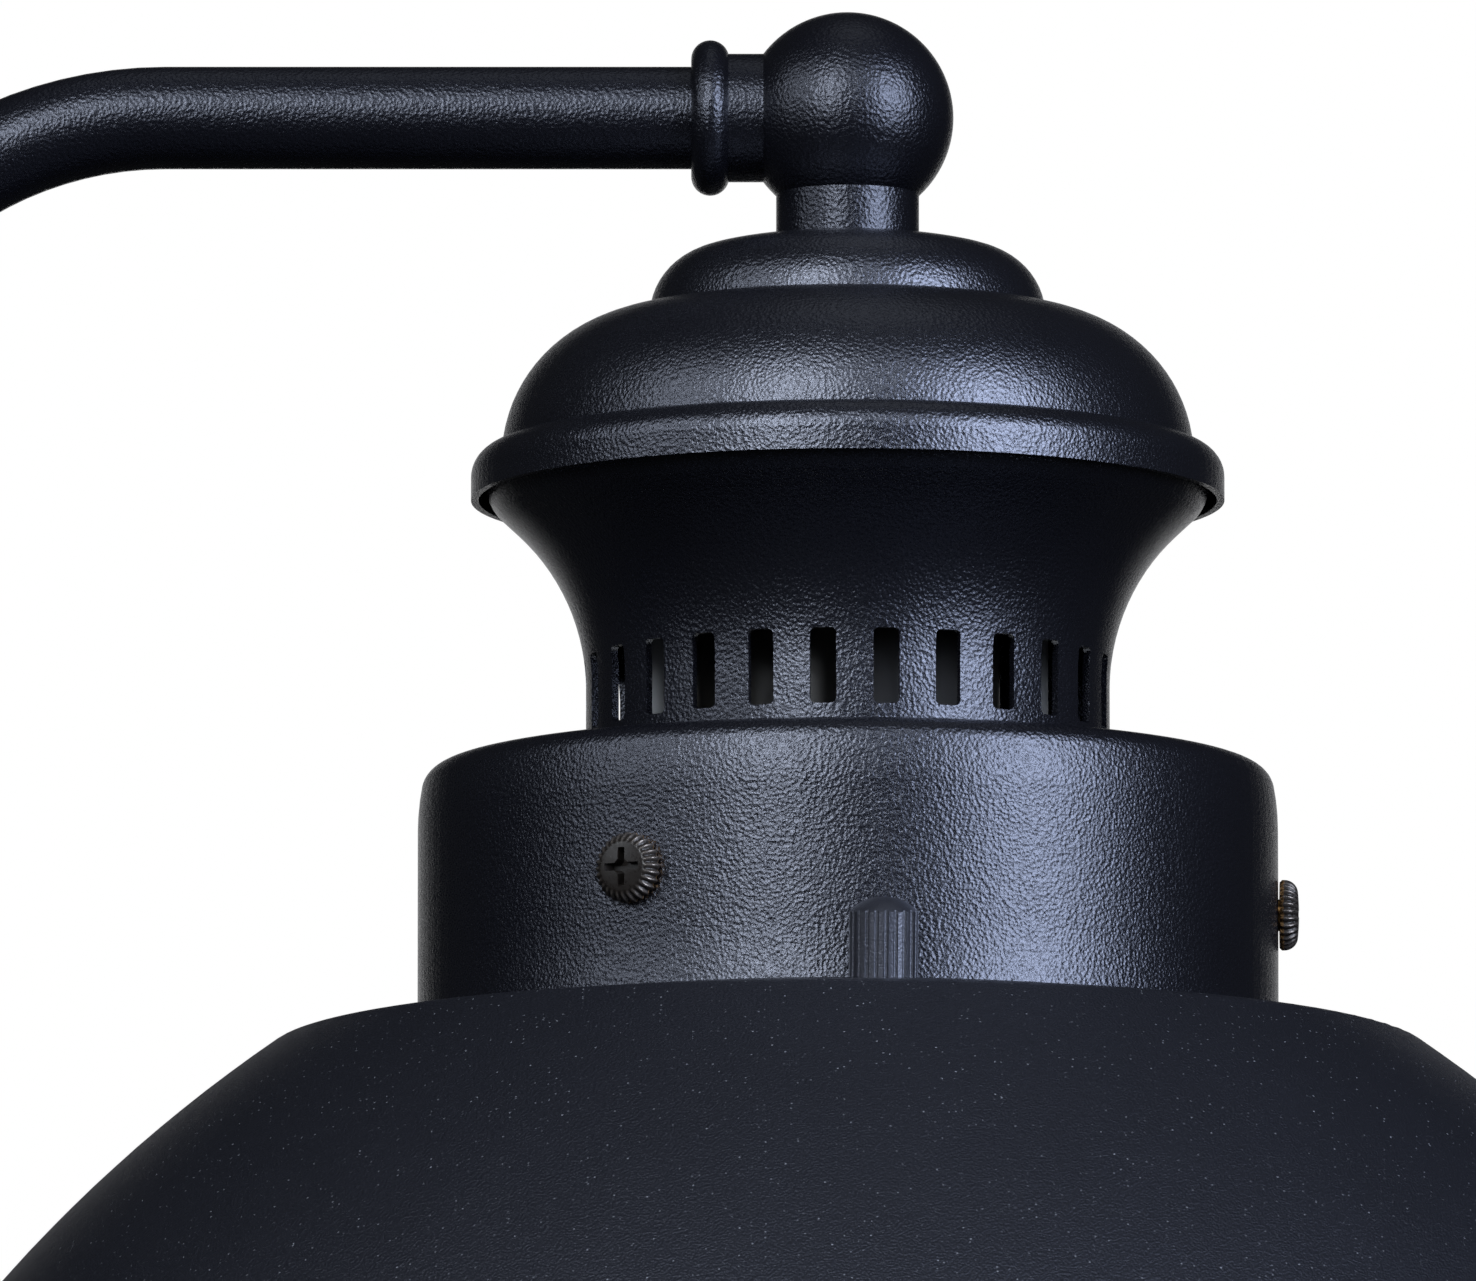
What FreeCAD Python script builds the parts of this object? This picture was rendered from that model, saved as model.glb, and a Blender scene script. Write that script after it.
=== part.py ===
"""Outdoor wall light: swan-neck arm, vented cap, fitter collar, dome shade and glass jar.

Millimetres. The origin is the centre of the wall canopy on the wall plane, +X leaves
the wall, +Z is up, and the lamp hangs on a vertical axis at X = reach.
"""
import FreeCAD
import Part
import math
import os
import Sketcher
from FreeCAD import Placement, Rotation, Vector

os.makedirs("parts", exist_ok=True)
doc = FreeCAD.newDocument("wall_light")

# Driving dimensions: name, value in mm or degrees, meaning
SIZES = [
    ("reach", 220, "wall to lamp axis"),
    ("tube_diameter", 12.95, "arm tube over its coat"),
    ("tube_wall", 1.2, "arm tube wall"),
    ("bend_radius", 48.6, "centre line of both arm bends"),
    ("base_run", 12.8, "canopy front to the lower bend"),
    ("tube_fit", 0.05, "gap round the tube and the threads"),
    ("ball_radius", 13.35, "ball of the elbow"),
    ("socket_radius", 8.1, "neck between ball and bead ring"),
    ("bead_distance", 17.3, "ball centre to bead ring"),
    ("bead_radius", 2.4, "rounding of the bead ring"),
    ("bead_height", 9.8, "outer radius of the bead ring"),
    ("socket_depth", 9, "ball centre to the end of the tube"),
    ("wire_way", 4.2, "radius of the passage in the ball"),
    ("neck_radius", 9, "vertical neck of the elbow"),
    ("neck_length", 5.95, "neck between cap and ball"),
    ("stem_radius", 5, "threaded stem"),
    ("stem_bore", 3.4, "wire bore of the stem"),
    ("stem_grip", 8, "stem length inside the neck"),
    ("cap_sheet", 0.95, "metal of cap and chimney"),
    ("crown_skirt", 1.4, "steep edge of the top disc"),
    ("crown_steep", 79, "slope of that edge"),
    ("crown_break", 14.7, "slope where its edge rounding starts"),
    ("crown_round", 8.6, "edge rounding of the top disc"),
    ("crown_land", 0.1, "flat ring round the foot"),
    ("crown_seat", 0.2, "flat seat beyond the neck"),
    ("dome_round", 18.4, "shoulder rounding of the dome"),
    ("dome_sweep", 85.2, "slope of the dome at the groove"),
    ("brim_round", 3.7, "rounding of the brim band"),
    ("groove_land", 0.2, "straight sides of the groove above the brim"),
    ("brim_band", 2.95, "straight height of the brim band"),
    ("chimney_radius", 32.9, "straight wall of the chimney"),
    ("chimney_wall", 10.05, "height of the straight wall"),
    ("chimney_foot", 3.6, "inward foot of the chimney"),
    ("foot_inset", 0.2, "chimney foot to the opening in the collar top"),
    ("flare_radius", 27.7, "hollow curve of the flare"),
    ("flare_lean", 47, "steepest lean of the flare"),
    ("flare_run", 2.05, "width of the straight part of the flare"),
    ("lip_round", 5.6, "curve back to the upright lip"),
    ("lip_gap", 0.9, "gap between lip and brim"),
    ("lip_band", 1.45, "straight height of the lip"),
    ("lip_turn", 2, "inward turn at the top of the lip"),
    ("lip_seat", 0.5, "flat top of the lip under the cap"),
    ("slot_count", 26, "vent slots"),
    ("slot_width", 3.3, "vent slot width"),
    ("slot_height", 9.5, "vent slot height"),
    ("slot_rise", 4.15, "slot above the foot of the chimney"),
    ("slot_corner", 0.7, "corner rounding of a slot"),
    ("slot_turn", 1.3, "slots turned from the thumbscrews"),
    ("collar_radius", 54, "collar drum, outside"),
    ("collar_height", 32.8, "collar above the shade"),
    ("collar_round", 3, "top rounding of the collar"),
    ("collar_ease", 28, "slow curve of the wall into the rounding"),
    ("ease_slope", 11, "lean of the wall at the rounding"),
    ("collar_sheet", 1.2, "metal of the collar"),
    ("flange_width", 10, "flange of the collar under the shade"),
    ("shade_sheet", 1, "metal of the shade"),
    ("shade_fit", 0.3, "gap between collar and shade"),
    ("shoulder_slope", 7.7, "slope of the shade shoulder"),
    ("shoulder_width", 17.5, "width of the shoulder"),
    ("shoulder_round", 2.5, "corner below the shoulder"),
    ("skirt_start", 35, "slope of the skirt at the shoulder"),
    ("skirt_end", 58, "slope of the skirt at the rim"),
    ("skirt_radius", 188, "curve of the skirt"),
    ("rim_bead", 2, "radius of the rolled rim"),
    ("screw_radius", 2, "thumbscrew thread"),
    ("screw_count", 3, "thumbscrews"),
    ("screw_level", 14.4, "thumbscrews above the shade"),
    ("screw_gap", 0.3, "screw tip to glass"),
    ("screw_head", 4.45, "head radius"),
    ("screw_stand", 0.2, "head to collar"),
    ("screw_edge", 0.3, "chamfer under the head"),
    ("screw_side", 0.6, "height of the head up to its rounding"),
    ("screw_round", 1.7, "rounding of the head"),
    ("screw_slope", 6, "slope of the domed face at the rounding"),
    ("screw_flutes", 28, "flutes of the knurl"),
    ("recess_length", 5.2, "cross recess arm to arm"),
    ("recess_width", 1.05, "cross recess width"),
    ("recess_web", 0.5, "bevel in the corners of the cross recess"),
    ("recess_depth", 1.5, "cross recess depth"),
    ("boss_radius", 3.6, "thread boss inside the collar"),
    ("boss_length", 2, "depth of the thread boss"),
    ("nut_radius", 4.3, "cap nut"),
    ("nut_knurl", 8.6, "height of its knurl"),
    ("nut_dome", 1.4, "height of its domed top"),
    ("nut_edge", 0.5, "bevel over its knurl"),
    ("nut_flutes", 22, "flutes of its knurl"),
    ("flute_radius", 0.32, "radius of one flute"),
    ("flute_depth", 0.25, "depth of one flute"),
    ("nut_bore", 7.4, "depth of its thread"),
    ("nut_gap", 0.2, "shade nuts to the collar"),
    ("nut_count", 2, "shade nuts"),
    ("nut_turn", 94, "first shade nut turned from the first thumbscrew"),
    ("stud_radius", 2, "threaded studs"),
    ("stud_fit", 0.4, "gap round a stud in the sheet"),
    ("stud_rise", 6.5, "stud inside a nut"),
    ("jar_gap", 0.3, "lip of the jar to the thread bosses"),
    ("glass_radius", 49, "jar below the collar, outside"),
    ("glass_wall", 3, "jar wall"),
    ("glass_lip", 1.5, "lip beyond the wall"),
    ("glass_lip_height", 4, "height of the lip"),
    ("glass_gap", 4.6, "top of the jar to the yoke"),
    ("neck_below", 5, "straight neck of the jar below the collar"),
    ("neck_taper", 6, "height from that neck to the full jar"),
    ("glass_straight", 65, "jar length down to the rounded bottom"),
    ("glass_round", 34, "corner curve of the bottom"),
    ("glass_turn", 60, "turn of that corner"),
    ("yoke_sheet", 2, "yoke strip thickness"),
    ("yoke_width", 14, "yoke strip width"),
    ("yoke_gap", 4, "leg to the lampholder"),
    ("mouth_gap", 1.5, "bend of a leg to the collar"),
    ("foot_length", 18, "foot beyond the outside of a leg"),
    ("yoke_height", 47, "collar top plate up to the yoke top"),
    ("yoke_bend", 2.5, "inside bend of the yoke"),
    ("washer_height", 1.2, "lock washer"),
    ("washer_radius", 8.5, "lock washer, outside"),
    ("lock_nut_flats", 16, "stem nut across flats"),
    ("lock_nut_height", 5, "stem nut height"),
    ("holder_height", 38, "lampholder length"),
    ("holder_depth", 27, "depth of its cavity"),
    ("holder_edge", 2, "chamfer at its mouth"),
    ("holder_taper", 6, "taper at its top"),
    ("holder_gap", 1, "lampholder below the stem nut"),
    ("holder_grip", 6, "stem inside the lampholder"),
    ("shell_bore", 13.3, "inside radius of the screw shell"),
    ("shell_sheet", 1.05, "metal of the screw shell"),
    ("shell_length", 22, "screw shell length"),
    ("shell_inset", 3, "screw shell from the mouth"),
    ("contact_radius", 4.5, "centre contact"),
    ("contact_height", 1.5, "centre contact"),
    ("wire_radius", 1.1, "insulated wire"),
    ("wire_side", 1.5, "wire beside the centre line"),
    ("wire_bend", 5, "wire bend inside the ball"),
    ("wire_tail", 9, "wire end from the wall"),
    ("canopy_sheet", 1.2, "metal of the canopy"),
    ("canopy_face", 24, "canopy front from the wall"),
    ("canopy_face_radius", 26, "flat front of the canopy"),
    ("canopy_step", 9, "depth of its step"),
    ("canopy_step_round", 5, "rounding of the step"),
    ("canopy_edge_round", 8, "rounding of its edge"),
    ("gasket_height", 2, "gasket thickness"),
    ("gasket_width", 6, "gasket ring width"),
    ("gasket_over", 1.5, "gasket beyond the canopy"),
    ("bar_gap", 0.6, "corners of the mounting bar to the gasket"),
    ("bar_width", 20, "mounting bar"),
    ("bar_sheet", 2, "mounting bar"),
    ("bar_way", 8, "radius of its centre hole"),
    ("box_spacing", 69.85, "wall box screws apart"),
    ("box_slot", 12, "slot length of the bar"),
    ("box_hole", 2.5, "slot half width"),
    ("stud_land", 5.1, "canopy stud beyond the end of a slot"),
    ("nut_margin", 1.7, "canopy nut to the rounded edge of the canopy"),
    ("ground_side", 18, "ground screw from the centre"),
    ("ground_radius", 2, "ground screw thread"),
    ("ground_head", 4.2, "ground screw head"),
    ("ground_height", 3, "ground screw head height"),
    ("ring_radius", 10, "base ring of the arm"),
    ("ring_height", 6, "base ring length"),
    ("ring_round", 2, "rounding of the base ring"),
    ("arm_nut_flats", 20, "arm nut across flats"),
    ("arm_nut_height", 5, "arm nut height"),
    ("arm_thread", 8, "arm end inside the canopy"),
]

sheet = doc.addObject("Spreadsheet::Sheet", "Sizes")
for row, (name, value, meaning) in enumerate(SIZES, start=1):
    sheet.set("A%d" % row, name)
    sheet.set("B%d" % row, str(value))
    sheet.set("C%d" % row, meaning)
    sheet.setAlias("B%d" % row, name)
doc.recompute()


class Size:
    """A dimension that carries its value and the expression that binds it to the sheet."""

    def __init__(self, value, text):
        self.value = float(value)
        self.text = text

    def join(self, sign, other, value):
        return Size(value, "(%s %s %s)" % (self.text, sign, other.text))

    def __add__(self, other):
        other = size_of(other)
        return self.join("+", other, self.value + other.value)

    def __sub__(self, other):
        other = size_of(other)
        return self.join("-", other, self.value - other.value)

    def __mul__(self, other):
        other = size_of(other)
        return self.join("*", other, self.value * other.value)

    def __truediv__(self, other):
        other = size_of(other)
        return self.join("/", other, self.value / other.value)

    def __neg__(self):
        return Size(-self.value, "(0 - %s)" % self.text)


def size_of(number):
    if isinstance(number, Size):
        return number
    return Size(number, repr(number))


def sin(angle):
    angle = size_of(angle)
    return Size(math.sin(math.radians(angle.value)), "sin(%s)" % angle.text)


def cos(angle):
    angle = size_of(angle)
    return Size(math.cos(math.radians(angle.value)), "cos(%s)" % angle.text)


def tan(angle):
    angle = size_of(angle)
    return Size(math.tan(math.radians(angle.value)), "tan(%s)" % angle.text)


def root(number):
    return Size(math.sqrt(number.value), "sqrt(%s)" % number.text)


class Sheet:
    """Reads the sheet: dim.reach is the size in the cell named reach."""

    def __getattr__(self, name):
        return Size(sheet.get(name), "Sizes.%s" % name)


dim = Sheet()
ZERO = size_of(0)


def bind(thing, prop, size):
    thing.setExpression(prop, size_of(size).text)


def new_body(label, x=ZERO, y=ZERO, z=ZERO):
    made = doc.addObject("PartDesign::Body", label)
    made.Label = label
    bind(made, "Placement.Base.x", x)
    bind(made, "Placement.Base.y", y)
    bind(made, "Placement.Base.z", z)
    return made


def origin_of(body, role):
    return [item for item in body.Origin.OriginFeatures if item.Role == role][0]


def new_sketch(body, role, name, lift=None):
    made = body.newObject("Sketcher::SketchObject", name)
    made.AttachmentSupport = [(origin_of(body, role), "")]
    made.MapMode = "FlatFace"
    if lift is not None:
        bind(made, "AttachmentOffset.Base.z", lift)
    return made


def hold(sketch, kind, geometry, end, size):
    """Fixes one coordinate of a point to a size of the sheet."""
    if size.text == "0":
        axis = -2 if kind == "DistanceX" else -1
        sketch.addConstraint(Sketcher.Constraint("PointOnObject", geometry, end, axis))
        return
    number = sketch.addConstraint(Sketcher.Constraint(kind, geometry, end, size.value))
    bind(sketch, "Constraints[%d]" % number, size)


def arc_between(start, end, radius, turn):
    """Circular arc shorter than half a turn; turn is 1 for left and -1 for right."""
    middle = (start + end) * 0.5
    chord = end - start
    rise = math.sqrt(max(radius * radius - chord.Length ** 2 / 4, 0))
    side = Vector(-chord.y, chord.x, 0).normalize()
    centre = middle + side * rise * turn
    first = math.atan2(start.y - centre.y, start.x - centre.x)
    last = math.atan2(end.y - centre.y, end.x - centre.x)
    if turn < 0:
        first, last = last, first
    circle = Part.Circle(centre, Vector(0, 0, 1), radius)
    return Part.ArcOfCircle(circle, first, last)


def draw(sketch, corners, closed=True):
    """Draws lines and arcs through corners of (x, y, bend); bend is None or (radius, turn)."""
    corners = [(size_of(x), size_of(y), bend) for x, y, bend in corners]
    count = len(corners) if closed else len(corners) - 1
    ends = []
    for index in range(count):
        x, y, bend = corners[index]
        other = corners[(index + 1) % len(corners)]
        start = Vector(x.value, y.value, 0)
        end = Vector(other[0].value, other[1].value, 0)
        if bend is None:
            number = sketch.addGeometry(Part.LineSegment(start, end))
            ends.append((number, 1, 2))
        else:
            radius = size_of(bend[0])
            number = sketch.addGeometry(arc_between(start, end, radius.value, bend[1]))
            ends.append((number, 1, 2) if bend[1] > 0 else (number, 2, 1))
    for index in range(count if closed else count - 1):
        number, _, last = ends[index]
        following, first, _ = ends[(index + 1) % count]
        sketch.addConstraint(Sketcher.Constraint("Coincident", number, last, following, first))
    for index in range(count):
        number, first, _ = ends[index]
        hold(sketch, "DistanceX", number, first, corners[index][0])
        hold(sketch, "DistanceY", number, first, corners[index][1])
    if not closed:
        number, _, last = ends[-1]
        hold(sketch, "DistanceX", number, last, corners[-1][0])
        hold(sketch, "DistanceY", number, last, corners[-1][1])
    for index in range(count):
        x, y, bend = corners[index]
        if bend is None:
            continue
        number = ends[index][0]
        radius = size_of(bend[0])
        drop = corners[(index + 1) % len(corners)][1].value - y.value
        if abs(abs(drop) - 2 * radius.value) < 1e-6:
            hold(sketch, "DistanceX", number, 3, x)
            continue
        held = sketch.addConstraint(Sketcher.Constraint("Radius", number, radius.value))
        bind(sketch, "Constraints[%d]" % held, radius)


def draw_circle(sketch, x, y, radius):
    x, y, radius = size_of(x), size_of(y), size_of(radius)
    circle = Part.Circle(Vector(x.value, y.value, 0), Vector(0, 0, 1), radius.value)
    number = sketch.addGeometry(circle)
    held = sketch.addConstraint(Sketcher.Constraint("Radius", number, radius.value))
    bind(sketch, "Constraints[%d]" % held, radius)
    hold(sketch, "DistanceX", number, 3, x)
    hold(sketch, "DistanceY", number, 3, y)


def sheet_outline(path, thickness):
    """Closed outline of bent sheet: path of (x, y, angle in, angle out, bend), metal on its left."""
    near = []
    far = []
    for x, y, before, after, bend in path:
        before, after = size_of(before), size_of(after)
        half = (after - before) / 2
        middle = (after + before) / 2
        reach = thickness / cos(half)
        near.append((size_of(x), size_of(y), bend))
        far.append((size_of(x) - reach * sin(middle), size_of(y) + reach * cos(middle)))
    outline = near[:-1] + [(near[-1][0], near[-1][1], None)]
    for index in range(len(path) - 1, -1, -1):
        bend = path[index - 1][4] if index else None
        if bend is not None:
            radius = size_of(bend[0])
            radius = radius - thickness if bend[1] > 0 else radius + thickness
            bend = (radius, -bend[1])
        outline.append((far[index][0], far[index][1], bend))
    return outline


def revolve(body, corners, axis="V_Axis", name="profile"):
    sketch = new_sketch(body, "XZ_Plane", name)
    draw(sketch, corners)
    made = body.newObject("PartDesign::Revolution", name + "_turned")
    made.Profile = sketch
    made.ReferenceAxis = (sketch, [axis])
    made.Angle = 360
    return made


def pad(body, sketch, length, name, both_ways=False):
    made = body.newObject("PartDesign::Pad", name)
    made.Profile = sketch
    bind(made, "Length", length)
    made.SideType = "Symmetric" if both_ways else "One side"
    return made


def pocket(body, sketch, length, name, reversed_way=False):
    made = body.newObject("PartDesign::Pocket", name)
    made.Profile = sketch
    bind(made, "Length", length)
    made.Reversed = reversed_way
    return made


def polar(body, features, count, name):
    made = body.newObject("PartDesign::PolarPattern", name)
    made.Originals = features
    made.Axis = (origin_of(body, "Z_Axis"), [""])
    made.Angle = 360
    bind(made, "Occurrences", count)
    body.Tip = made
    return made


def sweep(body, path_sketch, profile_sketch, kind, name):
    made = body.newObject(kind, name)
    made.Profile = profile_sketch
    made.Spine = path_sketch
    return made


def placed(shape, place):
    made = shape.copy()
    made.Placement = place.multiply(made.Placement)
    return made


def group(label, shapes):
    made = doc.addObject("Part::Feature", label)
    made.Label = label
    made.Shape = Part.makeCompound(shapes)
    return made


# Sizes that several pieces share
one = size_of(1)
screw_count = int(dim.screw_count.value)
screw_pitch = size_of(360) / dim.screw_count
nut_count = int(dim.nut_count.value)
nut_pitch = size_of(360) / dim.nut_count
tube_radius = dim.tube_diameter / 2
tube_hole = tube_radius + dim.tube_fit
stem_hole = dim.stem_radius + dim.tube_fit
upright = dim.canopy_face + dim.base_run + dim.bend_radius
curves = dim.flare_radius + dim.lip_round
rim_radius = dim.chimney_radius + curves * (one - cos(dim.flare_lean)) + dim.flare_run
brim_radius = rim_radius + dim.cap_sheet + dim.lip_gap
groove_radius = brim_radius - dim.groove_land - dim.brim_round
crown_foot = groove_radius - dim.crown_land - dim.dome_round * sin(dim.dome_sweep)
lip_level = dim.chimney_wall + curves * sin(dim.flare_lean) + dim.flare_run / tan(dim.flare_lean)
rim_level = lip_level + dim.lip_band + dim.lip_turn
cap_level = dim.collar_height + rim_level
dome_height = dim.dome_round * (one - cos(dim.dome_sweep)) + dim.groove_land * sin(dim.dome_sweep)
skirt_foot = crown_foot - dim.crown_skirt * cos(dim.crown_steep)
round_end = skirt_foot - dim.crown_round * (sin(dim.crown_steep) - sin(dim.crown_break))
seat_radius = dim.neck_radius + dim.crown_seat
crown_radius = (round_end - seat_radius) / sin(dim.crown_break)
skirt_level = dim.cap_sheet + dome_height + dim.crown_skirt * sin(dim.crown_steep)
break_level = skirt_level + dim.crown_round * (cos(dim.crown_break) - cos(dim.crown_steep))
crown_level = break_level + crown_radius * (one - cos(dim.crown_break))
neck_level = cap_level + crown_level
ball_rise = root(dim.ball_radius * dim.ball_radius - dim.neck_radius * dim.neck_radius)
arm_rise = neck_level + dim.neck_length + ball_rise
plate_level = dim.collar_height - dim.collar_sheet
collar_mouth = dim.chimney_radius - dim.chimney_foot - dim.foot_inset
yoke_half = collar_mouth - dim.mouth_gap - dim.yoke_bend
holder_radius = yoke_half - dim.yoke_sheet - dim.yoke_gap
holder_cavity = dim.shell_bore + dim.shell_sheet + dim.tube_fit
boss_face = dim.collar_radius - dim.collar_sheet - dim.boss_length
jar_neck = boss_face - dim.jar_gap - dim.glass_lip
glass_top = plate_level - dim.yoke_sheet - dim.glass_gap
nut_circle = dim.collar_radius + dim.nut_radius + dim.nut_gap
yoke_level = plate_level + dim.yoke_height - dim.yoke_sheet
nut_level = yoke_level - dim.washer_height - dim.lock_nut_height
holder_level = nut_level - dim.holder_gap
stem_end = holder_level - dim.holder_grip
stud_hole = dim.stud_radius + dim.stud_fit
thread_hole = dim.stud_radius + dim.tube_fit
step_level = dim.canopy_face - dim.canopy_step
stud_circle = dim.box_spacing / 2 + dim.box_slot / 2 + dim.stud_land
canopy_radius = stud_circle + dim.nut_radius + dim.nut_margin + dim.canopy_edge_round
gasket_radius = canopy_radius + dim.gasket_over


def hexagon(sketch, flats):
    radius = flats / (cos(30) * 2)
    corners = []
    for index in range(6):
        corners.append((radius * cos(60 * index), radius * sin(60 * index), None))
    draw(sketch, corners)


def ring(label, outer, inner, height, level):
    """Flat ring about the lamp axis, its underside at the given level."""
    made = new_body(label, dim.reach, ZERO, level)
    sketch = new_sketch(made, "XY_Plane", label + "_outline")
    draw_circle(sketch, ZERO, ZERO, outer)
    draw_circle(sketch, ZERO, ZERO, inner)
    pad(made, sketch, height, label + "_pad")
    return made


# Arm tube: out of the canopy, up, and over to the ball elbow
arm_start = dim.canopy_face - dim.canopy_sheet - dim.arm_thread
arm_end = dim.reach - dim.socket_depth


def arm_path(sketch, first, last_corners):
    corners = [
        (first, ZERO, None),
        (upright - dim.bend_radius, ZERO, (dim.bend_radius, 1)),
        (upright, dim.bend_radius, None),
        (upright, arm_rise - dim.bend_radius, (dim.bend_radius, -1)),
        (upright + dim.bend_radius, arm_rise, None),
    ]
    draw(sketch, corners + last_corners, closed=False)


arm_tube = new_body("arm_tube")
arm_line = new_sketch(arm_tube, "XZ_Plane", "arm_line")
arm_path(arm_line, arm_start, [(arm_end, arm_rise, None)])
arm_outside = new_sketch(arm_tube, "YZ_Plane", "arm_outside", arm_start)
draw_circle(arm_outside, ZERO, ZERO, tube_radius)
sweep(arm_tube, arm_line, arm_outside, "PartDesign::AdditivePipe", "arm_bar")
arm_inside = new_sketch(arm_tube, "YZ_Plane", "arm_inside", arm_start)
draw_circle(arm_inside, ZERO, ZERO, tube_radius - dim.tube_wall)
sweep(arm_tube, arm_line, arm_inside, "PartDesign::SubtractivePipe", "arm_bore")

# Ball elbow: ball, socket neck and bead ring turned about the arm, with a neck below
ball_elbow = new_body("ball_elbow", dim.reach, ZERO, arm_rise)
bead_axis = dim.bead_height - dim.bead_radius
bead_left = ZERO - dim.bead_distance - dim.bead_radius
bead_side = dim.socket_radius - bead_axis
bead_foot = root(dim.bead_radius * dim.bead_radius - bead_side * bead_side)
ball_cut = root(dim.ball_radius * dim.ball_radius - dim.socket_radius * dim.socket_radius)
elbow_corners = [
    (bead_left, ZERO, None),
    (bead_left, bead_axis, (dim.bead_radius, -1)),
    (bead_foot - dim.bead_distance, dim.socket_radius, None),
    (-ball_cut, dim.socket_radius, (dim.ball_radius, -1)),
    (dim.ball_radius, ZERO, None),
]
revolve(ball_elbow, elbow_corners, "H_Axis", "ball")
neck_drop = neck_level - arm_rise
neck_outline = new_sketch(ball_elbow, "XY_Plane", "neck_outline", neck_drop)
draw_circle(neck_outline, ZERO, ZERO, dim.neck_radius)
pad(ball_elbow, neck_outline, -neck_drop, "neck")
tube_socket = new_sketch(ball_elbow, "YZ_Plane", "tube_socket", bead_left)
draw_circle(tube_socket, ZERO, ZERO, tube_hole)
pocket(ball_elbow, tube_socket, -bead_left - dim.socket_depth, "tube_pocket", True)
wire_inlet = new_sketch(ball_elbow, "YZ_Plane", "wire_inlet", bead_left)
draw_circle(wire_inlet, ZERO, ZERO, dim.wire_way)
pocket(ball_elbow, wire_inlet, dim.wire_way - bead_left, "wire_inlet_bore", True)
stem_socket = new_sketch(ball_elbow, "XY_Plane", "stem_socket", neck_drop)
draw_circle(stem_socket, ZERO, ZERO, stem_hole)
pocket(ball_elbow, stem_socket, dim.stem_grip, "stem_pocket", True)
wire_outlet = new_sketch(ball_elbow, "XY_Plane", "wire_outlet", neck_drop)
draw_circle(wire_outlet, ZERO, ZERO, dim.stem_bore)
pocket(ball_elbow, wire_outlet, -neck_drop, "wire_outlet_bore", True)

# Threaded stem from the elbow down to the lampholder
ring("stem_tube", dim.stem_radius, dim.stem_bore, neck_level + dim.stem_grip - stem_end, stem_end)

# Vent cap: brim band, groove, dome and top disc as one spinning
vent_cap = new_body("vent_cap", dim.reach, ZERO, cap_level)
groove_out = size_of(180) - dim.dome_sweep
steep_out = size_of(180) - dim.crown_steep
break_out = size_of(180) - dim.crown_break
band_level = dim.cap_sheet - dim.brim_round
cap_path = [
    (brim_radius, band_level - dim.brim_band, 90, 90, None),
    (brim_radius, band_level, 90, 90, (dim.brim_round, 1)),
    (groove_radius + dim.groove_land, dim.cap_sheet, 180, 180, None),
    (groove_radius + dim.groove_land * cos(dim.dome_sweep), dim.cap_sheet, 180, groove_out, None),
    (groove_radius, dim.cap_sheet + dim.groove_land * sin(dim.dome_sweep), groove_out, groove_out,
     (dim.dome_round, 1)),
    (crown_foot + dim.crown_land, dim.cap_sheet + dome_height, 180, 180, None),
    (crown_foot, dim.cap_sheet + dome_height, 180, steep_out, None),
    (skirt_foot, skirt_level, steep_out, steep_out, (dim.crown_round, 1)),
    (round_end, break_level, break_out, break_out, (crown_radius, 1)),
    (seat_radius, crown_level, 180, 180, None),
    (stem_hole, crown_level, 180, 180, None),
]
revolve(vent_cap, sheet_outline(cap_path, dim.cap_sheet))

# Vent chimney: slotted wall that flares into an upright lip inside the brim
vent_chimney = new_body("vent_chimney", dim.reach, ZERO, dim.collar_height)
lean_out = size_of(90) - dim.flare_lean
flare_end = dim.chimney_radius + dim.flare_radius * (one - cos(dim.flare_lean))
lip_start = rim_radius - dim.lip_round * (one - cos(dim.flare_lean))
chimney_path = [
    (dim.chimney_radius - dim.chimney_foot, ZERO, 0, 0, None),
    (dim.chimney_radius, ZERO, 0, 90, None),
    (dim.chimney_radius, dim.chimney_wall, 90, 90, (dim.flare_radius, -1)),
    (flare_end, dim.chimney_wall + dim.flare_radius * sin(dim.flare_lean), lean_out, lean_out, None),
    (lip_start, lip_level - dim.lip_round * sin(dim.flare_lean), lean_out, lean_out,
     (dim.lip_round, 1)),
    (rim_radius, lip_level, 90, 90, None),
    (rim_radius, lip_level + dim.lip_band, 90, 90, (dim.lip_turn, 1)),
    (rim_radius - dim.lip_turn, rim_level, 180, 180, None),
    (rim_radius - dim.lip_turn - dim.lip_seat, rim_level, 180, 180, None),
]
revolve(vent_chimney, sheet_outline(chimney_path, dim.cap_sheet))
slot_outline = new_sketch(vent_chimney, "YZ_Plane", "slot_outline", dim.chimney_radius - dim.chimney_foot)
slot_side = dim.slot_width / 2
slot_top = dim.slot_rise + dim.slot_height
slot_bend = (dim.slot_corner, 1)
slot_corners = [
    (dim.slot_corner - slot_side, dim.slot_rise, None),
    (slot_side - dim.slot_corner, dim.slot_rise, slot_bend),
    (slot_side, dim.slot_rise + dim.slot_corner, None),
    (slot_side, slot_top - dim.slot_corner, slot_bend),
    (slot_side - dim.slot_corner, slot_top, None),
    (dim.slot_corner - slot_side, slot_top, slot_bend),
    (-slot_side, slot_top - dim.slot_corner, None),
    (-slot_side, dim.slot_rise + dim.slot_corner, slot_bend),
]
draw(slot_outline, slot_corners)
slot = pocket(vent_chimney, slot_outline, dim.chimney_foot * 2, "slot", True)
polar(vent_chimney, [slot], dim.slot_count, "slot_row")
vent_chimney.Placement = Placement(Vector(), Rotation(Vector(0, 0, 1), dim.slot_turn.value))

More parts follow.
